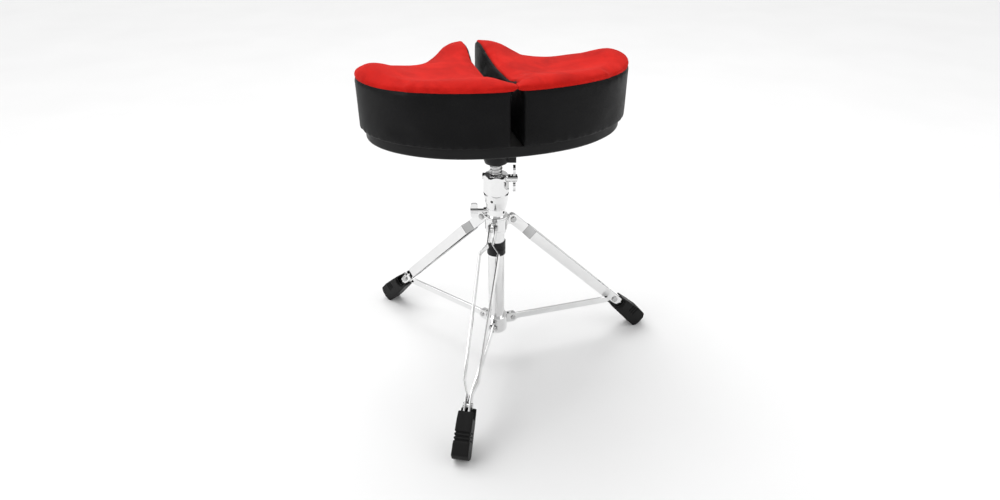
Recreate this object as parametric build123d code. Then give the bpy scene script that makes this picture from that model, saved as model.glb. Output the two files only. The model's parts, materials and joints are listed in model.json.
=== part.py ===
from build123d import *
import math
import os

os.makedirs("parts", exist_ok=True)

# Frame: origin on the column axis at the floor, +Z up, +Y towards the nose of the seat.
# Azimuths are measured from the rear (-Y), positive towards +X.
LEG_AZIMUTHS = {"rear": -24.4, "right": 95.6, "left": -144.4}

# Tripod, open pose: radius from the column axis and height
LEG_PIVOT = (30.0, 281.3)
STRUT_PIVOT = (31.3, 72.9)
LEG_RIVET = (247.4, 67.7)
STRIP_THICK = 2.5
STRIP_DEPTH = 18.0
STRIP_T_HUB = 4.6
STRIP_T_WIDE = 16.5
STRIP_T_LOW = 11.5
STRIP_T_END = 4.0
STRIP_TAIL = 52.0
PIVOT_R = 3.0
STRUT_THICK = 4.0
STRUT_DEPTH = 12.0
STRUT_PIN_R = 2.5
# Side profile of a boot: distance past the rivet along the leg, and height square to the leg
FOOT_PROFILE = [(2, -14), (60, -18), (78, -18.4), (82, -14), (85, -4), (84, 7), (79, 15), (60, 16.5), (2, 13)]
FOOT_WIDTHS = (22.0, 29.0)
FOOT_NOTCH = (3.0, 36.0)
FOOT_WINDOW = 15.0
RUN = 0.05

# Column
TUBE_R = 15.0
TUBE_BORE_R = 12.6
TUBE_Z = (54.0, 318.0)
HUB_R = 20.0
HUB_Z = (261.0, 287.0)
RING_R = 20.7
RING_Z = (287.0, 294.0)
COLLAR_R = 16.6
GUIDE_R = 16.6
GUIDE_Z = (217.0, 242.0)
LOW_HUB_Z = (52.0, 85.0)
LUG_THICK = 6.0

# Housing and spindle
HOUSING_R = 22.0
HOUSING_Z = (294.0, 370.0)
FLAT_APOTHEM = 20.0
ROD_R = 11.0
ROD_Z = (190.0, 441.0)
BUSH_R = 15.0
BUSH_Z = (348.0, 367.0)
CLAMP_Z = 362.0
CLAMP_AZIMUTH = 76.4
TEE_Z = 301.0
TEE_AZIMUTH = -103.6

# Seat
TRAY_Z = (449.5, 467.0)
TRAY_FLOOR = 4.0
SPLIT_HALF = 9.5
PAD_THICK = 13.0
FOLD_Y = -116.0
VINYL = 2.0
BOSS_R = 21.0
BOSS_Z = (389.5, 449.5)
BOSS_FLANGE_R = 52.0
# Radius of the tray rim every 15 degrees from the rear centre to the nose
RIM_RADII = [131, 134, 143, 158, 177, 198, 211, 208, 193, 179, 176, 192, 207]


def at_azimuth(shape, azimuth):
    """Turn a shape modelled along +X to an azimuth measured from the rear."""
    return Rot(0, 0, azimuth - 90) * shape


def cyl(radius, z0, z1, x=0.0, y=0.0):
    return Pos(x, y, (z0 + z1) / 2) * Cylinder(radius, z1 - z0)


def rod_x(radius, x0, x1, z, y=0.0):
    return Pos((x0 + x1) / 2, y, z) * Rot(0, 90, 0) * Cylinder(radius, x1 - x0)


def rod_y(radius, y0, y1, x, z):
    return Pos(x, (y0 + y1) / 2, z) * Rot(90, 0, 0) * Cylinder(radius, y1 - y0)


def box(x0, x1, y0, y1, z0, z1):
    return Pos((x0 + x1) / 2, (y0 + y1) / 2, (z0 + z1) / 2) * Box(x1 - x0, y1 - y0, z1 - z0)


def turned(points):
    """Solid of revolution about Z from (radius, height) points."""
    return revolve(Plane.XZ * make_face(Polyline(*points, close=True)), Axis.Z)


# ---------------------------------------------------------------- seat

def rim_face(grow, z):
    """Outline of the seat, grown outwards by a distance, as a face at a height."""
    pts = []
    for i in range(-12, 12):
        r = RIM_RADII[abs(i)] + grow
        a = math.radians(15 * i)
        pts.append((r * math.sin(a), -r * math.cos(a)))
    return Pos(0, 0, z) * make_face(Spline(*pts, periodic=True))


def top_z(x, y):
    """Height of the saddle: high rear and side lobes, low middle, raised nose, thigh scoops."""
    x = abs(x)
    rear = 27.0 / (1 + math.exp((y + 62) / 21))
    lobe = 26.0 * math.exp(-((x - 195) / 52) ** 2 - ((y - 5) / 65) ** 2)
    nose = 13.0 * math.exp(-(x / 62) ** 4 - ((y - 180) / 55) ** 2)
    scoop = 14.0 * math.exp(-((x - 120) / 55) ** 2 - ((y - 155) / 52) ** 2)
    return 541.0 + rear + lobe + nose - scoop


def saddle(drop):
    """Everything below the saddle surface lowered by a distance."""
    faces = []
    for y in range(-170, 261, 30):
        x_pts = [-250 + 25 * k for k in range(21)]
        top = Spline(*[(x, top_z(x, y) - drop) for x in x_pts])
        sides = Polyline((250, top_z(250, y) - drop), (250, 400), (-250, 400), (-250, top_z(-250, y) - drop))
        faces.append(Plane((0, y, 0), x_dir=(1, 0, 0), z_dir=(0, -1, 0)) * make_face([top, sides]))
    return loft(faces)


def half_space(side, gap):
    return box(gap, 300, -300, 300, 300, 700) if side > 0 else box(-300, -gap, -300, 300, 300, 700)


def seat_parts():
    parts = {}
    seam = saddle(PAD_THICK)
    crown = saddle(0) - seam
    band = extrude(rim_face(12, 480), 140)
    skirt_out = loft([rim_face(9, TRAY_Z[1]), rim_face(12, 600)])
    skirt_in = loft([rim_face(9 - VINYL, TRAY_Z[1]), rim_face(12 - VINYL, 600)])
    for name, side in (("left", -1), ("right", 1)):
        outer = skirt_out & seam & half_space(side, SPLIT_HALF)
        core = skirt_in & seam & half_space(side, SPLIT_HALF + VINYL)
        fold = half_space(side, SPLIT_HALF) + (half_space(side, 0.4) & box(-40, 40, -200, FOLD_Y, 300, 700))
        parts["top_pad_" + name] = band & crown & fold
        parts["skirt_" + name] = outer - core
        parts["foam_core_" + name] = core
    tray = extrude(rim_face(0, TRAY_Z[0]), TRAY_Z[1] - TRAY_Z[0])
    tray = fillet(tray.faces().sort_by(Axis.Z)[0].edges(), 4)
    tray -= extrude(rim_face(-4, TRAY_Z[0] + TRAY_FLOOR), 40)
    board = extrude(rim_face(-4, TRAY_Z[0] + TRAY_FLOOR), TRAY_Z[1] - TRAY_Z[0] - TRAY_FLOOR)
    boss = cyl(BOSS_FLANGE_R, BOSS_Z[1] - 5, BOSS_Z[1])
    boss += turned([(0, BOSS_Z[0]), (15, BOSS_Z[0]), (19.5, 392), (BOSS_R, 397), (BOSS_R, 446), (0, 446)])
    boss += at_azimuth(box(16, 34, -7, 7, 393, 446), CLAMP_AZIMUTH)
    boss -= cyl(ROD_R, BOSS_Z[0] - 1, ROD_Z[1])
    boss -= rod_y(2.5, -30, 30, 0, 420)
    boss_screws = []
    for k in range(4):
        x = 40 * math.cos(math.radians(45 + 90 * k))
        y = 40 * math.sin(math.radians(45 + 90 * k))
        hole = cyl(2.5, 440, 464, x, y)
        boss -= hole
        tray -= hole
        board -= hole
        boss_screws.append(cyl(2.5, 444.5, 464, x, y) + cyl(5, 441.5, 444.5, x, y))
    tray_screws = []
    for k in range(6):
        a = math.radians(30 + 60 * k)
        x = 110 * math.cos(a)
        y = 110 * math.sin(a)
        hole = cyl(2, 440, 463, x, y)
        tray -= hole
        board -= hole
        tray_screws.append(cyl(2, TRAY_Z[0], 463, x, y) + cyl(4.5, TRAY_Z[0] - 2.2, TRAY_Z[0], x, y))
    parts["base_tray"] = tray
    parts["seat_board"] = board
    parts["seat_boss"] = boss
    parts["boss_screws"] = boss_screws
    parts["tray_screws"] = tray_screws
    rod = cyl(ROD_R, *ROD_Z) - rod_y(2.5, -30, 30, 0, 420)
    parts["threaded_rod"] = chamfer(rod.edges().filter_by(GeomType.CIRCLE).group_by(Axis.Z)[0], 1.5)
    parts["rod_pin"] = rod_y(2.5, -BOSS_R, BOSS_R, 0, 420)
    return parts


# ---------------------------------------------------------------- housing and column

def arch_cutter(azimuth):
    """Cuts one flat with a rounded lower end into the housing's upper half."""
    face = Rectangle(30, 60, align=(Align.CENTER, Align.MIN)) + Circle(15)
    cutter = extrude(Plane((FLAT_APOTHEM, 0, 349), x_dir=(0, 1, 0), z_dir=(1, 0, 0)) * face, 20)
    return Rot(0, 0, azimuth) * cutter


def column_parts():
    parts = {}
    z0, z1 = HOUSING_Z
    profile = [(0, z0), (COLLAR_R, z0), (COLLAR_R, 307.2), (COLLAR_R - 0.6, 307.6), (COLLAR_R - 0.6, 308.4)]
    profile += [(18, 309), (20.5, 322), (HOUSING_R, 336), (HOUSING_R, z1 - 2.5), (HOUSING_R - 2.5, z1), (0, z1)]
    housing = turned(profile)
    for k in range(6):
        housing -= arch_cutter(60 * k + 17)
    housing += at_azimuth(rod_x(7, 12, 25, CLAMP_Z), CLAMP_AZIMUTH)
    housing += at_azimuth(rod_x(5.5, 12, 23.5, z1 - 5), CLAMP_AZIMUTH - 190)
    housing += at_azimuth(rod_x(5.5, 12, 22, TEE_Z + 0.5), TEE_AZIMUTH)
    housing -= cyl(TUBE_R, z0 - 1, TUBE_Z[1])
    housing -= cyl(ROD_R + RUN, z0, z1 + 1)
    housing -= cyl(BUSH_R + RUN, BUSH_Z[0] - 0.1, BUSH_Z[1] + 0.1)
    housing -= at_azimuth(rod_x(4 + RUN, 15.5, 30, CLAMP_Z), CLAMP_AZIMUTH)
    housing -= at_azimuth(rod_x(3.5 + RUN, 14, 30, TEE_Z), TEE_AZIMUTH)
    screws = []
    for azimuth, z, r0, r1 in ((-35, 326, 16, 20.4), (38, 302, 15, 16.2), (CLAMP_AZIMUTH - 190, z1 - 5, 18, 23)):
        hole = at_azimuth(rod_x(2.5, r0, 30, z), azimuth)
        housing -= hole
        screw = rod_x(2.5, r0, r1, z) - rod_x(1.2, r1 - 1.0, r1 + 1, z)
        screws.append(at_azimuth(screw, azimuth))
    parts["housing"] = housing
    parts["set_screws"] = screws
    parts["rod_bushing"] = cyl(BUSH_R, *BUSH_Z) - cyl(ROD_R + RUN, *BUSH_Z)
    parts["clamp_bolt"] = at_azimuth(rod_x(4, 16, 37, CLAMP_Z), CLAMP_AZIMUTH)
    grip = rod_x(7, 26, 36, CLAMP_Z)
    for s in (-1, 1):
        wing = Pos(31, 0, CLAMP_Z + s * 15) * Rot(0, 90, 0) * extrude(Ellipse(9.5, 6.5), 2.2, both=True)
        grip += wing
    grip -= rod_x(4, 20, 40, CLAMP_Z)
    parts["wing_grip"] = at_azimuth(grip, CLAMP_AZIMUTH)
    parts["tee_bolt"] = at_azimuth(rod_x(3.5, 15.3, 36, TEE_Z), TEE_AZIMUTH)
    tee = rod_x(5.5, 32, 45, TEE_Z)
    tee += Pos(38.5, 0, TEE_Z) * Rot(90, 0, 0) * extrude(RectangleRounded(13, 27, 5), 2.5, both=True)
    tee -= rod_x(3.5, 20, 36, TEE_Z)
    parts["tee_grip"] = at_azimuth(tee, TEE_AZIMUTH)
    tube = cyl(TUBE_R, *TUBE_Z) - cyl(TUBE_BORE_R, TUBE_Z[0] - 1, TUBE_Z[1] + 1)
    parts["column_tube"] = tube
    parts["tube_end_cap"] = cyl(TUBE_BORE_R, TUBE_Z[0], 66) + cyl(TUBE_R, TUBE_Z[0] - 2.5, TUBE_Z[0])
    ring = turned([(TUBE_R, 287), (20, 287), (RING_R, 287.7), (RING_R, 289.5), (19.8, 290), (19.8, 290.8),
                   (RING_R, 291.3), (RING_R, 293.3), (20, 294), (TUBE_R, 294)])
    parts["flange_ring"] = ring
    guide = cyl(GUIDE_R, *GUIDE_Z) - cyl(TUBE_R, 200, 260)
    for z in (228, 231):
        guide -= cyl(30, z, z + 0.8) - cyl(GUIDE_R - 0.6, z, z + 0.8)
    parts["guide_collar"] = guide
    hub = turned([(TUBE_R, HUB_Z[0]), (17.8, HUB_Z[0]), (17.8, 266), (HUB_R, 268), (HUB_R, HUB_Z[1]), (TUBE_R, HUB_Z[1])])
    for azimuth in LEG_AZIMUTHS.values():
        x, z = LEG_PIVOT
        lug = box(17, x, -LUG_THICK / 2, LUG_THICK / 2, z - 10, 286.5)
        lug += rod_y(8.5, -LUG_THICK / 2, LUG_THICK / 2, x, z) & box(0, 50, -9, 9, 200, 286.5)
        lug -= rod_y(PIVOT_R + RUN, -9, 9, x, z)
        hub += at_azimuth(lug, azimuth) - cyl(TUBE_R, 200, 300)
    parts["leg_hub"] = hub
    return parts


# ---------------------------------------------------------------- tripod

LEG_RUN = (LEG_RIVET[0] - LEG_PIVOT[0], LEG_RIVET[1] - LEG_PIVOT[1])
LEG_LEN = math.hypot(*LEG_RUN)
LEG_DIR = (LEG_RUN[0] / LEG_LEN, 0, LEG_RUN[1] / LEG_LEN)
LEG_UP = (-LEG_DIR[2], 0, LEG_DIR[0])


def leg_plane():
    """Local x along the leg, y sideways, z square to the leg; origin at the upper pivot."""
    return Plane((LEG_PIVOT[0], 0, LEG_PIVOT[1]), x_dir=LEG_DIR, z_dir=LEG_UP)


def side_plane():
    """Local x along the leg, y square to it, z sideways; origin at the upper pivot."""
    return Plane((LEG_PIVOT[0], 0, LEG_PIVOT[1]), x_dir=LEG_DIR, z_dir=(0, -1, 0))


def strip(side):
    """One flat joggled strip of a leg."""
    end = LEG_LEN + STRIP_TAIL
    path = [(-12, STRIP_T_HUB), (33, STRIP_T_HUB), (47, STRIP_T_WIDE), (LEG_LEN - 40, STRIP_T_LOW)]
    path += [(LEG_LEN - 18, STRIP_T_END), (end, STRIP_T_END)]
    h = STRIP_THICK / 2
    ring = [(s, side * (t + h)) for s, t in path] + [(s, side * (t - h)) for s, t in reversed(path)]
    bar = extrude(leg_plane() * make_face(Polyline(*ring, close=True)), STRIP_DEPTH / 2, both=True)
    face = Circle(STRIP_DEPTH / 2) + Rectangle(end, STRIP_DEPTH, align=(Align.MIN, Align.CENTER))
    face -= Circle(PIVOT_R)
    face -= Pos(LEG_LEN, 0) * Circle(PIVOT_R)
    return bar & extrude(side_plane() * face, 30, both=True)


def pivot_pin(radius, head_r, head_h, half, x, z):
    """A pin along Y with a low head at each end."""
    pin = rod_y(radius, -half, half, x, z)
    for s in (-1, 1):
        head = Rot(-90 * s, 0, 0) * Pos(0, 0, head_h / 2) * Cylinder(head_r, head_h)
        head = chamfer(head.edges().group_by(Axis.Y)[-1 if s > 0 else 0], head_h * 0.45)
        pin += Pos(x, s * half, z) * head
    return pin


def end_rivets():
    """Two short rivets, one in each strip, that leave the strut end free between them."""
    x, z = LEG_RIVET
    inner = STRIP_T_END - STRIP_THICK / 2
    outer = STRIP_T_END + STRIP_THICK / 2
    rivets = []
    for s in (-1, 1):
        shank = rod_y(PIVOT_R, *sorted((s * inner, s * outer)), x, z)
        head = rod_y(5.5, *sorted((s * outer, s * (outer + 2.4))), x, z)
        rivets.append(shank + head)
    return rivets


def foot(strips):
    """Rubber boot on the ends of a leg's strips, with a flat sole and a notch that clears the strut's end."""
    side = Pos(LEG_LEN, 0) * make_face(Polyline(*FOOT_PROFILE, close=True))
    block = extrude(side_plane() * side, 20, both=True)
    block = fillet(block.edges().filter_by(Axis.Y).group_by(SortBy.LENGTH)[-1], 2)
    s0, s1 = LEG_LEN, LEG_LEN + 90
    w0, w1 = FOOT_WIDTHS[0] / 2, FOOT_WIDTHS[1] / 2
    plan = make_face(Polyline((s0, -w0), (s1, -w1), (s1, w1), (s0, w0), close=True))
    block = block & extrude(leg_plane() * plan, 40, both=True)
    block = block & box(0, 500, -50, 50, 0, 200)
    half, depth = FOOT_NOTCH
    block -= leg_plane() * Pos(LEG_LEN + depth / 2, 0, 8.5) * Box(depth, 2 * half, 23)
    window = Rectangle(FOOT_WINDOW + 6, 20) + Pos(FOOT_WINDOW / 2 + 3, 0) * Circle(10)
    block -= extrude(side_plane() * Pos(LEG_LEN, 0) * window, 20, both=True)
    for s in strips:
        block -= s
    return block


def strut():
    """Flat bar from the lower hub to the leg."""
    x0, z0 = STRUT_PIVOT
    x1, z1 = LEG_RIVET
    length = math.hypot(x1 - x0, z1 - z0)
    face = SlotCenterToCenter(length, STRUT_DEPTH)
    for s, r in ((-1, STRUT_PIN_R + RUN), (1, PIVOT_R + 0.3)):
        face -= Pos(s * length / 2, 0) * Circle(r)
    plane = Plane(((x0 + x1) / 2, 0, (z0 + z1) / 2), x_dir=(x1 - x0, 0, z1 - z0), z_dir=(0, -1, 0))
    return extrude(plane * face, STRUT_THICK / 2, both=True)


def lower_hub():
    """Sliding hub with three clevises."""
    z0, z1 = LOW_HUB_Z
    r = TUBE_R + RUN
    hub = turned([(r, z0), (17, z0), (19.2, z0 + 2), (HUB_R, z0 + 5), (HUB_R, z1 - 1), (HUB_R - 1, z1), (r, z1)])
    x, z = STRUT_PIVOT
    for azimuth in LEG_AZIMUTHS.values():
        for s in (-1, 1):
            y0, y1 = sorted((s * 2.4, s * 5.4))
            ear = box(17, x, y0, y1, z - 9, z + 9) + rod_y(9, y0, y1, x, z)
            ear -= rod_y(STRUT_PIN_R, -9, 9, x, z)
            hub += at_azimuth(ear, azimuth) - cyl(r, 0, 200)
    return hub


def tripod_parts():
    parts = {"lower_hub": lower_hub()}
    for name, azimuth in LEG_AZIMUTHS.items():
        strips = [strip(-1), strip(1)]
        rivets = end_rivets()
        outer = STRIP_T_HUB + STRIP_THICK / 2
        parts["leg_strip_" + name + "_a"] = at_azimuth(strips[0], azimuth)
        parts["leg_strip_" + name + "_b"] = at_azimuth(strips[1], azimuth)
        parts["leg_pin_" + name] = at_azimuth(pivot_pin(PIVOT_R, 5.5, 2.6, outer, *LEG_PIVOT), azimuth)
        parts["leg_rivets_" + name] = [at_azimuth(r, azimuth) for r in rivets]
        parts["rubber_foot_" + name] = at_azimuth(foot(strips), azimuth)
        parts["strut_" + name] = at_azimuth(strut(), azimuth)
        parts["strut_pin_" + name] = at_azimuth(pivot_pin(STRUT_PIN_R, 4.5, 2.0, 5.4, *STRUT_PIVOT), azimuth)
    return parts


def save(name, shape):
    if isinstance(shape, list):
        shape = Compound(children=shape)
    shape.label = name
    export_step(shape, "parts/" + name + ".step")


for group in (seat_parts(), column_parts(), tripod_parts()):
    for node, shape in group.items():
        save(node, shape)
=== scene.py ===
import json
import math

import bmesh
import bpy
from mathutils import Matrix, Vector


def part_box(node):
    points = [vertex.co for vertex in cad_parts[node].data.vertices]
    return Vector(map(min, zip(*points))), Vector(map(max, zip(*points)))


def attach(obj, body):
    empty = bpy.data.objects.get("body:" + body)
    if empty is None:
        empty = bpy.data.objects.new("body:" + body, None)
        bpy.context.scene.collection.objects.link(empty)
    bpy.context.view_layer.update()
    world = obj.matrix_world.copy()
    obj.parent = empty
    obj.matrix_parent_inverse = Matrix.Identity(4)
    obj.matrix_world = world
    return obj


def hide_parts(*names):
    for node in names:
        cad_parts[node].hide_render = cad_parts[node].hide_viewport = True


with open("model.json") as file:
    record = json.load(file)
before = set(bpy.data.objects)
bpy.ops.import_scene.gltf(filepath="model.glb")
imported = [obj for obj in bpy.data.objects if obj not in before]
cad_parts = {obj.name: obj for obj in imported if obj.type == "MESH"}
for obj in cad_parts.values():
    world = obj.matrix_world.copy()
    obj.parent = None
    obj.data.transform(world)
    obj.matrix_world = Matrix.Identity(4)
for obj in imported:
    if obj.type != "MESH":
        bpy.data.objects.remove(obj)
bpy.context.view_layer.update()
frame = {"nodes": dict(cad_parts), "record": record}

NODES = frame["nodes"]

# Row frame: origin on the floor on the column's axis, +Z up, +Y towards the nose of the seat. Metres.
# Azimuths are in degrees from the rear (-Y), positive towards +X.

# Shared with the CAD part. Pivot and rivet are a radius from the axis and a height.
LEG_AZIMUTHS = {"rear": -24.4, "right": 95.6, "left": -144.4}
LEG_PIVOT = (0.0300, 0.2813)
LEG_RIVET = (0.2474, 0.0677)
LEG_RUN = Vector((LEG_RIVET[0] - LEG_PIVOT[0], 0, LEG_RIVET[1] - LEG_PIVOT[1])).normalized()
PAD_THICK = 0.013
SEAT_BOTTOM = 0.467
THREAD_PITCH = 0.006
ROD_R = 0.011

# Cushions
CUSHION_VOXEL = 0.005
CUSHION_SMOOTHING = 8
SMOOTH_ABOVE = SEAT_BOTTOM + 0.004
SWELL_ABOVE = SEAT_BOTTOM + 0.010
SWELL_FRAMES = 20
SWELL_CAP = 0.005
CROWN_SCALE = 0.84
SEAM_PINCH = 0.0016
SEAM_WIDTH = 0.0028
SEAM_CLIMB = 0.70
CAP_EDGE = 0.012

# The rear end of the split: how far in and from where its walls are drawn together
NOTCH_HALF = 0.012
NOTCH_START = 0.112
NOTCH_FULL = 0.118
NOTCH_PULL_LOW = 0.010
NOTCH_PULL_HIGH = 0.001
NOTCH_GAP = 0.0004
NOTCH_OPENS = (0.005, 0.013)

# Thread of the rod: crest and flank are parts of the pitch
THREAD_DEPTH = 0.0024
THREAD_CREST = 0.16
THREAD_FLANK = 0.20
THREAD_STEP = 0.0005
THREAD_SIDES = 72
ROD_END_CUT = 0.0015

# Steel strips and struts: an edge that turns between the first two angles is a bend, past them an edge
BEND_TURN = math.radians(12)
EDGE_TURN = math.radians(60)
BEND_RADIUS = 0.0030
EDGE_SHARE = 0.18
BEND_LENGTH = 0.008

# Boots, in leg space: s past the rivet along the leg, t sideways, n square to the leg
BOOT_VOXEL = 0.0011
BOOT_SMOOTHING = 5
SOLE_KEPT = 0.0016
NOTCH_FILL_S = ((0.003, 0.0129), (0.040, 0.0152))
NOTCH_FILL_T = 0.004
NOTCH_FILL_N = 0.0102
GROOVES = (0.0430, 0.0490, 0.0550)
GROOVE_DEPTH = 0.0024
GROOVE_WIDTH = 0.0012
COLLAR_SLIDE = 0.007
COLLAR_LENGTH = 0.035
BOOT_WIDEN = 0.15
BOOT_LENGTH = 0.080

# Studio
FLOOR_HALF = 60
FLOOR_DROP = 0.0004
WORLD_GREYS = ((0.0, 0.34), (0.10, 0.26), (0.30, 0.50), (0.52, 0.62), (1.0, 0.50))
# Name, place, target, side of the square in metres, power in watts
LAMPS = (
    ("key", (-2.3, -0.7, 1.7), (0, 0, 0.45), 1.6, 17.0),
    ("fill", (1.7, -1.1, 1.5), (0, 0, 0.35), 1.5, 7.0),
    ("rim", (0.6, 1.5, 2.5), (0, 0, 0.45), 1.3, 9.0),
)
SUN_FROM = (-0.25, 0.45, 0.86)
SUN_STRENGTH = 1.85
SUN_ANGLE = 58

# Camera, from a fit to the photo's view. Angles in degrees.
CAMERA_DISTANCE = 1.18224
CAMERA_HEIGHT = 0.87076
CAMERA_TURN = 13.588
CAMERA_PITCH = 28.768
CAMERA_YAW = 0.322
SENSOR = 36.0
LENS_PER_SENSOR = 0.748335


# ---------------------------------------------------------------- materials

class Mat:
    """Small helper to wire one procedural material."""

    def __init__(self, name, color, rough, metal=0.0):
        self.mat = bpy.data.materials.new(name)
        self.mat.use_nodes = True
        self.tree = self.mat.node_tree
        self.bsdf = self.tree.nodes["Principled BSDF"]
        self.set("Base Color", (*color, 1))
        self.set("Roughness", rough)
        self.set("Metallic", metal)
        self.coords = self.tree.nodes.new("ShaderNodeTexCoord").outputs["Object"]

    def set(self, socket, value):
        self.bsdf.inputs[socket].default_value = value

    def link(self, a, b):
        self.tree.links.new(a, b)

    def scaled(self, scale):
        node = self.tree.nodes.new("ShaderNodeMapping")
        node.inputs["Scale"].default_value = scale
        self.link(self.coords, node.inputs["Vector"])
        return node.outputs["Vector"]

    def noise(self, scale, detail=4.0, rough=0.5, distort=0.0, stretch=None):
        node = self.tree.nodes.new("ShaderNodeTexNoise")
        node.inputs["Scale"].default_value = scale
        node.inputs["Detail"].default_value = detail
        node.inputs["Roughness"].default_value = rough
        node.inputs["Distortion"].default_value = distort
        self.link(self.scaled(stretch) if stretch else self.coords, node.inputs["Vector"])
        return node.outputs["Fac"]

    def cells(self, scale, feature):
        node = self.tree.nodes.new("ShaderNodeTexVoronoi")
        node.feature = feature
        node.inputs["Scale"].default_value = scale
        self.link(self.coords, node.inputs["Vector"])
        return node.outputs["Distance"]

    def ramp(self, fac, stops):
        node = self.tree.nodes.new("ShaderNodeValToRGB")
        while len(node.color_ramp.elements) < len(stops):
            node.color_ramp.elements.new(0.5)
        for element, (pos, color) in zip(node.color_ramp.elements, stops):
            element.position = pos
            element.color = (*color, 1)
        self.link(fac, node.inputs["Fac"])
        return node.outputs["Color"]

    def remap(self, fac, low, high, lo_in=0.0, hi_in=1.0):
        node = self.tree.nodes.new("ShaderNodeMapRange")
        node.inputs["From Min"].default_value = lo_in
        node.inputs["From Max"].default_value = hi_in
        node.inputs["To Min"].default_value = low
        node.inputs["To Max"].default_value = high
        self.link(fac, node.inputs["Value"])
        return node.outputs["Result"]

    def mix(self, fac, a, b, blend="MIX"):
        node = self.tree.nodes.new("ShaderNodeMix")
        node.data_type = "RGBA"
        node.blend_type = blend
        for socket, value in ((0, fac), (6, a), (7, b)):
            if isinstance(value, (float, tuple)):
                node.inputs[socket].default_value = value
            else:
                self.link(value, node.inputs[socket])
        return node.outputs[2]

    def bump(self, height, strength, distance, after=None):
        node = self.tree.nodes.new("ShaderNodeBump")
        node.inputs["Strength"].default_value = strength
        node.inputs["Distance"].default_value = distance
        self.link(height, node.inputs["Height"])
        if after is not None:
            self.link(after, node.inputs["Normal"])
        self.link(node.outputs["Normal"], self.bsdf.inputs["Normal"])
        return node.outputs["Normal"]

    def to(self, output, socket):
        self.link(output, self.bsdf.inputs[socket])


def velour():
    """Bright red napped velour: brushed patches, fine fibres, soft sheen."""
    m = Mat("velour_red", (0.55, 0.008, 0.012), 0.85)
    patches = m.noise(11, detail=5, rough=0.6, distort=1.0)
    fibres = m.noise(1500, detail=3, rough=0.7)
    strokes = m.noise(55, detail=4, rough=0.6, distort=0.6, stretch=(1.0, 0.25, 1.0))
    reds = [(0.30, (0.50, 0.007, 0.005)), (0.5, (0.64, 0.011, 0.007)), (0.70, (0.78, 0.018, 0.012))]
    base = m.ramp(patches, reds)
    fuzz = m.ramp(fibres, [(0.3, (0.70, 0.66, 0.66)), (0.7, (1.0, 1.0, 1.0))])
    base = m.mix(1.0, base, fuzz, "MULTIPLY")
    base = m.mix(m.remap(strokes, 0.0, 0.30, 0.45, 0.75), base, (0.80, 0.026, 0.018, 1.0))
    m.to(base, "Base Color")
    m.to(m.remap(strokes, 0.78, 0.98), "Roughness")
    m.set("Sheen Weight", 0.16)
    m.set("Sheen Roughness", 0.45)
    m.set("Sheen Tint", (1.0, 0.16, 0.12, 1))
    m.set("Specular IOR Level", 0.12)
    first = m.bump(patches, 0.12, 0.004)
    m.bump(fibres, 0.45, 0.0006, first)
    return m.mat


def vinyl():
    """Black grained vinyl: leather cells, fine pores, soft gloss."""
    m = Mat("vinyl_black", (0.006, 0.006, 0.0065), 0.42)
    grain = m.cells(520, "DISTANCE_TO_EDGE")
    pores = m.noise(1400, detail=3)
    broad = m.noise(22, detail=4)
    m.to(m.ramp(broad, [(0.35, (0.0022, 0.0022, 0.0025)), (0.7, (0.005, 0.005, 0.0055))]), "Base Color")
    m.to(m.remap(broad, 0.36, 0.55), "Roughness")
    m.set("Specular IOR Level", 0.12)
    first = m.bump(m.remap(grain, 0.0, 1.0, 0.0, 0.25), 0.35, 0.0007)
    m.bump(pores, 0.12, 0.0003, first)
    return m.mat


def moulded(name, color, rough, scuffs=0.0, grain=900):
    """Moulded plastic or rubber: fine texture, uneven gloss, optional scuffs."""
    m = Mat(name, color, rough)
    m.set("Specular IOR Level", 0.22)
    fine = m.noise(grain, detail=3, rough=0.6)
    broad = m.noise(35, detail=5, rough=0.65)
    m.to(m.remap(broad, rough - 0.10, rough + 0.12, 0.3, 0.7), "Roughness")
    base = m.ramp(broad, [(0.3, tuple(0.75 * c for c in color)), (0.7, tuple(1.35 * c for c in color))])
    if scuffs:
        marks = m.noise(26, detail=8, rough=0.75, distort=2.5, stretch=(1.0, 1.0, 6.0))
        base = m.mix(m.remap(marks, 0.0, scuffs, 0.66, 0.80), base, (0.30, 0.30, 0.31, 1.0))
    m.to(base, "Base Color")
    m.bump(fine, 0.25, 0.0004)
    return m.mat


def chrome(name, tint, rough=0.03):
    """Polished chrome plate: faint polishing lines, smears and waviness."""
    m = Mat(name, (tint, tint, tint * 1.005), rough, metal=1.0)
    smear = m.noise(28, detail=6, rough=0.7, distort=0.8)
    polish = m.noise(420, detail=2, rough=0.5, stretch=(1.0, 1.0, 0.08))
    m.to(m.remap(smear, rough, rough + 0.08, 0.40, 0.80), "Roughness")
    m.to(m.ramp(smear, [(0.30, (tint * 0.94,) * 3), (0.62, (tint,) * 3)]), "Base Color")
    first = m.bump(m.noise(9, detail=2), 0.05, 0.004)
    m.bump(polish, 0.03, 0.0003, first)
    return m.mat


def steel(name, value, rough):
    """Zinc plated or dark steel: cloudy plating and fine scratches."""
    m = Mat(name, (value, value, value * 1.02), rough, metal=1.0)
    cloud = m.noise(120, detail=5, rough=0.65)
    scratch = m.noise(900, detail=2, stretch=(1.0, 0.1, 1.0))
    m.to(m.remap(cloud, rough - 0.06, rough + 0.16, 0.35, 0.7), "Roughness")
    m.to(m.ramp(cloud, [(0.3, (value * 0.7,) * 3), (0.7, (value * 1.15,) * 3)]), "Base Color")
    m.bump(scratch, 0.10, 0.0002)
    return m.mat


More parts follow.
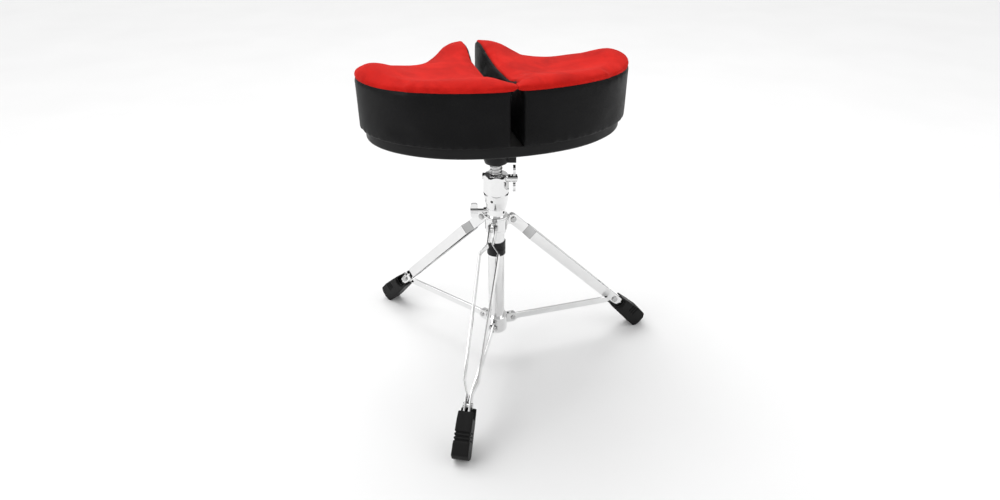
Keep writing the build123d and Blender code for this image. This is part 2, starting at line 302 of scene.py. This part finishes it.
def gap_shade_board():
    """Plywood coloured near black as painted shade, so the narrow gap between the seat halves shows
    dark, with long grain.
    """
    m = Mat("board_painted_gap_shade", (0.008, 0.007, 0.006), 0.7)
    m.set("Specular IOR Level", 0.2)
    grain = m.noise(40, detail=6, rough=0.6, distort=0.4, stretch=(1.0, 0.12, 1.0))
    # Near-black grain colours: painted shade for the gap between the seat halves
    m.to(m.ramp(grain, [(0.3, (0.0040, 0.0036, 0.0032)), (0.7, (0.010, 0.009, 0.008))]), "Base Color")
    m.to(m.remap(grain, 0.6, 0.85), "Roughness")
    m.bump(grain, 0.2, 0.0005)
    return m.mat


MATS = {
    "velour": velour(),
    "vinyl": vinyl(),
    "foam": moulded("foam", (0.62, 0.58, 0.45), 0.95, grain=500),
    "tray_plastic": moulded("tray_plastic", (0.003, 0.003, 0.0034), 0.46, scuffs=0.22),
    "board": gap_shade_board(),
    "black_metal": moulded("black_powder_coat", (0.010, 0.010, 0.011), 0.38, grain=1600),
    "screw_steel": steel("dark_screw_steel", 0.09, 0.38),
    "black_plastic": moulded("black_plastic", (0.009, 0.009, 0.010), 0.28),
    "nylon": moulded("nylon_black", (0.02, 0.02, 0.02), 0.5),
    "rubber": moulded("rubber_black", (0.0026, 0.0026, 0.0026), 0.50, scuffs=0.10, grain=700),
    "rod_steel": chrome("rod_zinc", 0.66, 0.14),
    "rivet_steel": steel("rivet_zinc", 0.55, 0.20),
    "chrome": chrome("chrome_plate", 0.84),
}

for entry in frame["record"]["subparts"]:
    mesh = NODES[entry["node"]].data
    mesh.materials.clear()
    mesh.materials.append(MATS[entry["material_slot"]])


# ---------------------------------------------------------------- mesh helpers

def new_object(name, bm, mat, smooth=True):
    """A scene object from a bmesh, which is freed, with one material."""
    mesh = bpy.data.meshes.new(name)
    bmesh.ops.recalc_face_normals(bm, faces=bm.faces)
    bm.to_mesh(mesh)
    bm.free()
    for p in mesh.polygons:
        p.use_smooth = smooth
    mesh.materials.append(MATS[mat])
    obj = bpy.data.objects.new(name, mesh)
    bpy.context.scene.collection.objects.link(obj)
    return obj


def apply_modifiers(obj):
    """Replaces an object's mesh by its evaluated one."""
    dg = bpy.context.evaluated_depsgraph_get()
    mesh = bpy.data.meshes.new_from_object(obj.evaluated_get(dg))
    old = obj.data
    obj.modifiers.clear()
    obj.data = mesh
    bpy.data.meshes.remove(old)


def voxel_remesh(obj, size):
    """Replaces an object's mesh by one even closed skin."""
    remesh = obj.modifiers.new("remesh", "REMESH")
    remesh.mode = "VOXEL"
    remesh.voxel_size = size
    apply_modifiers(obj)


def smooth_mesh(obj, passes, keep_below):
    """Evens out a mesh, apart from what lies below a height."""
    bm = bmesh.new()
    bm.from_mesh(obj.data)
    moving = [v for v in bm.verts if v.co.z > keep_below]
    for _ in range(passes):
        bmesh.ops.smooth_vert(bm, verts=moving, factor=0.5,
                              use_axis_x=True, use_axis_y=True, use_axis_z=True)
    bm.to_mesh(obj.data)
    bm.free()


def smooth_step(low, high, value):
    """0 below low, 1 above high, and an even S curve between them."""
    t = min(max((value - low) / (high - low), 0.0), 1.0)
    return t * t * (3 - 2 * t)


def skin(bm, rings):
    """Bridges equal rings of points into a closed surface with flat ends."""
    verts = [[bm.verts.new(p) for p in ring] for ring in rings]
    n = len(rings[0])
    for a, b in zip(verts, verts[1:]):
        for i in range(n):
            bm.faces.new((a[i], a[(i + 1) % n], b[(i + 1) % n], b[i]))
    bm.faces.new(list(reversed(verts[0])))
    bm.faces.new(verts[-1])


# ---------------------------------------------------------------- cushions

def top_z(x, y):
    """Height of the saddle surface, the same function as in the CAD part, in metres."""
    x, y = abs(x) * 1000, y * 1000
    rear = 27.0 / (1 + math.exp((y + 62) / 21))
    lobe = 26.0 * math.exp(-((x - 195) / 52) ** 2 - ((y - 5) / 65) ** 2)
    nose = 13.0 * math.exp(-(x / 62) ** 4 - ((y - 180) / 55) ** 2)
    scoop = 14.0 * math.exp(-((x - 120) / 55) ** 2 - ((y - 155) / 52) ** 2)
    return (541.0 + rear + lobe + nose - scoop) / 1000


def seam_z(x, y):
    """Height of the seam: below the rim outside, just under the edge along the split."""
    climb = (1 - smooth_step(0.010, 0.026, abs(x))) * smooth_step(-0.088, -0.058, y)
    return top_z(x, y) - PAD_THICK * (1 - SEAM_CLIMB * climb)


def joined_copy(name, nodes):
    """One new mesh object from copies of CAD node meshes."""
    bm = bmesh.new()
    for n in nodes:
        bm.from_mesh(NODES[n].data)
    mesh = bpy.data.meshes.new(name)
    bm.to_mesh(mesh)
    bm.free()
    obj = bpy.data.objects.new(name, mesh)
    bpy.context.scene.collection.objects.link(obj)
    return obj


def swell(obj, frames, cap, pin_below):
    """Cloth pressure on a closed mesh, pinned below a height, with the movement of each point capped."""
    start = [v.co.copy() for v in obj.data.vertices]
    group = obj.vertex_groups.new(name="pin")
    group.add([v.index for v in obj.data.vertices if v.co.z < pin_below], 1.0, "REPLACE")
    mod = obj.modifiers.new("cloth", "CLOTH")
    s = mod.settings
    s.quality = 5
    s.mass = 0.3
    s.use_pressure = True
    s.uniform_pressure_force = 4.0
    s.tension_stiffness = 25
    s.compression_stiffness = 25
    s.shear_stiffness = 10
    s.bending_stiffness = 6
    s.vertex_group_mass = "pin"
    s.effector_weights.gravity = 0
    mod.collision_settings.use_collision = False
    for f in range(1, frames + 1):
        bpy.context.scene.frame_set(f)
    apply_modifiers(obj)
    bpy.context.scene.frame_set(1)
    for v, a in zip(obj.data.vertices, start):
        d = v.co - a
        if d.length > cap:
            v.co = a + d * (cap / d.length)


def flatten_seam(bm, back=False):
    """Maps the curved seam surface onto the plane z = 0, or back."""
    for v in bm.verts:
        v.co.z += seam_z(v.co.x, v.co.y) * (1 if back else -1)


def on_seam(item):
    """Whether an edge or face of the flattened form lies in the seam's plane."""
    return all(abs(v.co.z) < 1e-7 for v in item.verts)


def refine_cap(bm):
    """Cuts the flat cap at the seam into small faces, so that it can follow the curved seam."""
    for _ in range(8):
        bmesh.ops.triangulate(bm, faces=[f for f in bm.faces if on_seam(f)])
        long_edges = [e for e in bm.edges if e.calc_length() > CAP_EDGE and on_seam(e)]
        if not long_edges:
            break
        bmesh.ops.subdivide_edges(bm, edges=long_edges, cuts=1)


def close_rear_notch(bm):
    """Draws the two tops together at the rear end of the split, touching low and open in a V above."""
    for v in bm.verts:
        x = abs(v.co.x)
        if x < NOTCH_HALF and v.co.y < -NOTCH_START:
            high = smooth_step(*NOTCH_OPENS, v.co.z)
            pull = NOTCH_PULL_LOW - (NOTCH_PULL_LOW - NOTCH_PULL_HIGH) * high
            pull *= smooth_step(NOTCH_START, NOTCH_FULL, -v.co.y)
            v.co.x = math.copysign(max(NOTCH_GAP, x - pull * (1 - x / NOTCH_HALF)), v.co.x)


def cushion(side):
    """One seat half: a swollen crowned form, cut along the seam into velour top and vinyl skirt."""
    form = joined_copy("form_" + side, ["top_pad_" + side, "skirt_" + side, "foam_core_" + side])
    voxel_remesh(form, CUSHION_VOXEL)
    smooth_mesh(form, CUSHION_SMOOTHING, SMOOTH_ABOVE)
    swell(form, SWELL_FRAMES, SWELL_CAP, SWELL_ABOVE)
    smooth_mesh(form, 2, SWELL_ABOVE)
    sub = form.modifiers.new("sub", "SUBSURF")
    sub.levels = sub.render_levels = 1
    apply_modifiers(form)
    base = bmesh.new()
    base.from_mesh(form.data)
    bpy.data.objects.remove(form)
    flatten_seam(base)
    base.normal_update()
    for v in base.verts:
        if v.co.z > 0:
            v.co.z *= CROWN_SCALE
        pinch = SEAM_PINCH * math.exp(-(v.co.z / SEAM_WIDTH) ** 2)
        v.co -= v.normal * pinch
    made = []
    for name, mat, keep_up in (("velour_top_", "velour", True), ("vinyl_skirt_", "vinyl", False)):
        bm = base.copy()
        geom = bm.verts[:] + bm.edges[:] + bm.faces[:]
        bmesh.ops.bisect_plane(bm, geom=geom, plane_co=(0, 0, 0), plane_no=(0, 0, 1),
                               clear_inner=keep_up, clear_outer=not keep_up)
        rim = [e for e in bm.edges if e.is_boundary]
        bmesh.ops.holes_fill(bm, edges=rim, sides=0)
        refine_cap(bm)
        if keep_up:
            close_rear_notch(bm)
        flatten_seam(bm, back=True)
        made.append(new_object(name + side, bm, mat))
    base.free()
    return made


for side in ("left", "right"):
    top, skirt = cushion(side)
    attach(top, "seat")
    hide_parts("top_pad_" + side)
    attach(skirt, "seat")
    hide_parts("skirt_" + side, "foam_core_" + side)


# ---------------------------------------------------------------- threaded rod

def threaded_rod():
    """The rod with its real helical thread, within the CAD rod's outer radius."""
    lo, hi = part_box("threaded_rod")
    rows = int((hi.z - lo.z) / THREAD_STEP)
    bm = bmesh.new()
    rings = []
    for k in range(rows + 1):
        z = lo.z + (hi.z - lo.z) * k / rows
        ring = []
        for i in range(THREAD_SIDES):
            a = 2 * math.pi * i / THREAD_SIDES
            phase = (z / THREAD_PITCH - i / THREAD_SIDES) % 1.0
            flank = smooth_step(THREAD_CREST, THREAD_CREST + THREAD_FLANK, abs(phase - 0.5))
            r = ROD_R - THREAD_DEPTH * flank
            if k == 0:
                r = min(r, ROD_R - ROD_END_CUT)
            ring.append((r * math.cos(a), r * math.sin(a), z))
        rings.append(ring)
    skin(bm, rings)
    return new_object("thread_rod", bm, "rod_steel")


rod = threaded_rod()
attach(rod, "seat")
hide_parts("threaded_rod")


# ---------------------------------------------------------------- leg and strut steel

def rounded_steel(node, body, run):
    """A copy of a CAD steel part with rolled edges, and wide bends where it turns across its run."""
    bm = bmesh.new()
    bm.from_mesh(NODES[node].data)
    bmesh.ops.remove_doubles(bm, verts=bm.verts, dist=1e-6)
    bmesh.ops.dissolve_limit(bm, angle_limit=math.radians(1.0), verts=bm.verts, edges=bm.edges)
    weight = bm.edges.layers.float.new("bevel_weight_edge")
    for e in bm.edges:
        if len(e.link_faces) != 2:
            continue
        turn = e.calc_face_angle(0)
        along = (e.verts[1].co - e.verts[0].co).normalized()
        across = abs(along.dot(run)) < 0.2
        if BEND_TURN < turn < EDGE_TURN and across and e.calc_length() > BEND_LENGTH:
            e[weight] = 1.0
        elif turn > EDGE_TURN:
            e[weight] = EDGE_SHARE
    obj = new_object("steel_" + node, bm, "chrome")
    bevel = obj.modifiers.new("bevel", "BEVEL")
    bevel.limit_method = "WEIGHT"
    bevel.width = BEND_RADIUS
    bevel.segments = 4
    bevel.use_clamp_overlap = True
    bevel.harden_normals = True
    apply_modifiers(obj)
    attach(obj, body)
    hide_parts(node)


for name, azimuth in LEG_AZIMUTHS.items():
    a = math.radians(azimuth)
    out = Vector((math.sin(a), -math.cos(a), 0))
    leg_run = out * LEG_RUN.x + Vector((0, 0, LEG_RUN.z))
    rounded_steel("leg_strip_%s_a" % name, "leg_" + name, leg_run)
    rounded_steel("leg_strip_%s_b" % name, "leg_" + name, leg_run)
    rounded_steel("strut_" + name, "strut_" + name, out)


# ---------------------------------------------------------------- rubber boots

def leg_frame(azimuth):
    """Matrix from leg space (s, t, n) to the row frame."""
    up = Vector((-LEG_RUN.z, 0, LEG_RUN.x))
    m = Matrix((LEG_RUN, Vector((0, 1, 0)), up)).transposed().to_4x4()
    m.translation = (LEG_RIVET[0], 0, LEG_RIVET[1])
    return Matrix.Rotation(math.radians(azimuth - 90), 4, "Z") @ m


def fill_notch(bm, space):
    """Adds the block that closes a boot's clearance notch, with its top sloped like the boot's."""
    v = []
    for s, top in NOTCH_FILL_S:
        for t in (-NOTCH_FILL_T, NOTCH_FILL_T):
            for n in (NOTCH_FILL_N, top):
                v.append(bm.verts.new(space @ Vector((s, t, n))))
    for quad in ((0, 1, 3, 2), (4, 6, 7, 5), (0, 4, 5, 1), (2, 3, 7, 6), (0, 2, 6, 4), (1, 5, 7, 3)):
        bm.faces.new([v[k] for k in quad])


def boot(name, azimuth):
    """Rubber boot: the CAD shape with its clearance notch closed, softened, with moulded grooves."""
    space = leg_frame(azimuth)
    bm = bmesh.new()
    bm.from_mesh(NODES["rubber_foot_" + name].data)
    fill_notch(bm, space)
    obj = new_object("boot_" + name, bm, "rubber")
    voxel_remesh(obj, BOOT_VOXEL)
    smooth_mesh(obj, BOOT_SMOOTHING, SOLE_KEPT)
    back = space.inverted()
    bm = bmesh.new()
    bm.from_mesh(obj.data)
    bm.normal_update()
    for v in bm.verts:
        s, t, n = back @ v.co
        away = back.to_3x3() @ v.normal
        dent = 0.0
        for groove in GROOVES:
            dent += GROOVE_DEPTH * math.exp(-((s - groove) / GROOVE_WIDTH) ** 2)
        dent *= smooth_step(-0.004, 0.002, n) * (1 - smooth_step(0.6, 0.9, abs(away.x)))
        slide = COLLAR_SLIDE * smooth_step(-0.012, 0.012, n) * (1 - smooth_step(0.0, COLLAR_LENGTH, s))
        widen = 1.0 + BOOT_WIDEN * (1 - smooth_step(0.0, BOOT_LENGTH, s))
        s += slide - away.x * dent
        t = (t - away.y * dent) * widen
        n -= away.z * dent
        v.co = space @ Vector((s, t, n))
    obj.data.materials.clear()
    bm.to_mesh(obj.data)
    bm.free()
    obj.data.materials.append(MATS["rubber"])
    for p in obj.data.polygons:
        p.use_smooth = True
    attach(obj, "leg_" + name)
    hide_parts("rubber_foot_" + name)


for name, azimuth in LEG_AZIMUTHS.items():
    boot(name, azimuth)


# ---------------------------------------------------------------- stage, light, camera

def paper():
    """Matt white paper sweep, very slightly uneven."""
    m = Mat("studio_paper", (0.84, 0.84, 0.84), 0.9)
    greys = [(0.3, (0.83, 0.83, 0.83)), (0.7, (0.85, 0.85, 0.85))]
    m.to(m.ramp(m.noise(3, detail=2), greys), "Base Color")
    m.set("Specular IOR Level", 0.1)
    return m.mat


def stage():
    """One wide sheet of paper just under the soles."""
    MATS["floor"] = paper()
    half = FLOOR_HALF
    corners = ((-half, -half, 0), (half, -half, 0), (half, half, 0), (-half, half, 0))
    bm = bmesh.new()
    bm.faces.new([bm.verts.new(c) for c in corners])
    floor = new_object("studio_floor", bm, "floor", smooth=False)
    floor.location.z = -FLOOR_DROP


def studio_world():
    """Soft grey surroundings, darker near the horizon, for the chrome to reflect."""
    world = bpy.data.worlds.new("studio")
    bpy.context.scene.world = world
    world.use_nodes = True
    tree = world.node_tree
    coord = tree.nodes.new("ShaderNodeTexCoord")
    split = tree.nodes.new("ShaderNodeSeparateXYZ")
    ramp = tree.nodes.new("ShaderNodeValToRGB")
    while len(ramp.color_ramp.elements) < len(WORLD_GREYS):
        ramp.color_ramp.elements.new(0.5)
    for element, (pos, grey) in zip(ramp.color_ramp.elements, WORLD_GREYS):
        element.position = pos
        element.color = (grey, grey, grey, 1)
    tree.links.new(coord.outputs["Generated"], split.inputs[0])
    tree.links.new(split.outputs["Z"], ramp.inputs["Fac"])
    tree.links.new(ramp.outputs["Color"], tree.nodes["Background"].inputs["Color"])
    tree.nodes["Background"].inputs["Strength"].default_value = 1.0


def add_lamp(data, place, back):
    """Puts a lamp in the scene, with its back along a direction."""
    lamp = bpy.data.objects.new(data.name, data)
    lamp.location = place
    lamp.rotation_mode = "QUATERNION"
    lamp.rotation_quaternion = back.to_track_quat("Z", "Y")
    bpy.context.scene.collection.objects.link(lamp)


def lamps():
    """Three large soft lamps, and one very wide soft light from above, behind on the left."""
    for name, place, target, size, power in LAMPS:
        data = bpy.data.lights.new(name, "AREA")
        data.size = size
        data.energy = power
        add_lamp(data, place, Vector(place) - Vector(target))
    data = bpy.data.lights.new("overhead", "SUN")
    data.energy = SUN_STRENGTH
    data.angle = math.radians(SUN_ANGLE)
    add_lamp(data, (0, 0, 0), Vector(SUN_FROM))


def make_camera():
    """A camera at the photo's viewing angle."""
    turn, pitch, yaw = (math.radians(a) for a in (CAMERA_TURN, CAMERA_PITCH, CAMERA_YAW))
    data = bpy.data.cameras.new("camera")
    data.sensor_width = SENSOR
    data.lens = LENS_PER_SENSOR * SENSOR
    cam = bpy.data.objects.new("camera", data)
    bpy.context.scene.collection.objects.link(cam)
    cam.location = (-CAMERA_DISTANCE * math.sin(turn), -CAMERA_DISTANCE * math.cos(turn), CAMERA_HEIGHT)
    cam.rotation_euler = (math.pi / 2 - pitch, 0, -turn - yaw)
    bpy.context.scene.camera = cam


stage()
studio_world()
lamps()
make_camera()
bpy.context.scene.view_settings.view_transform = "Standard"
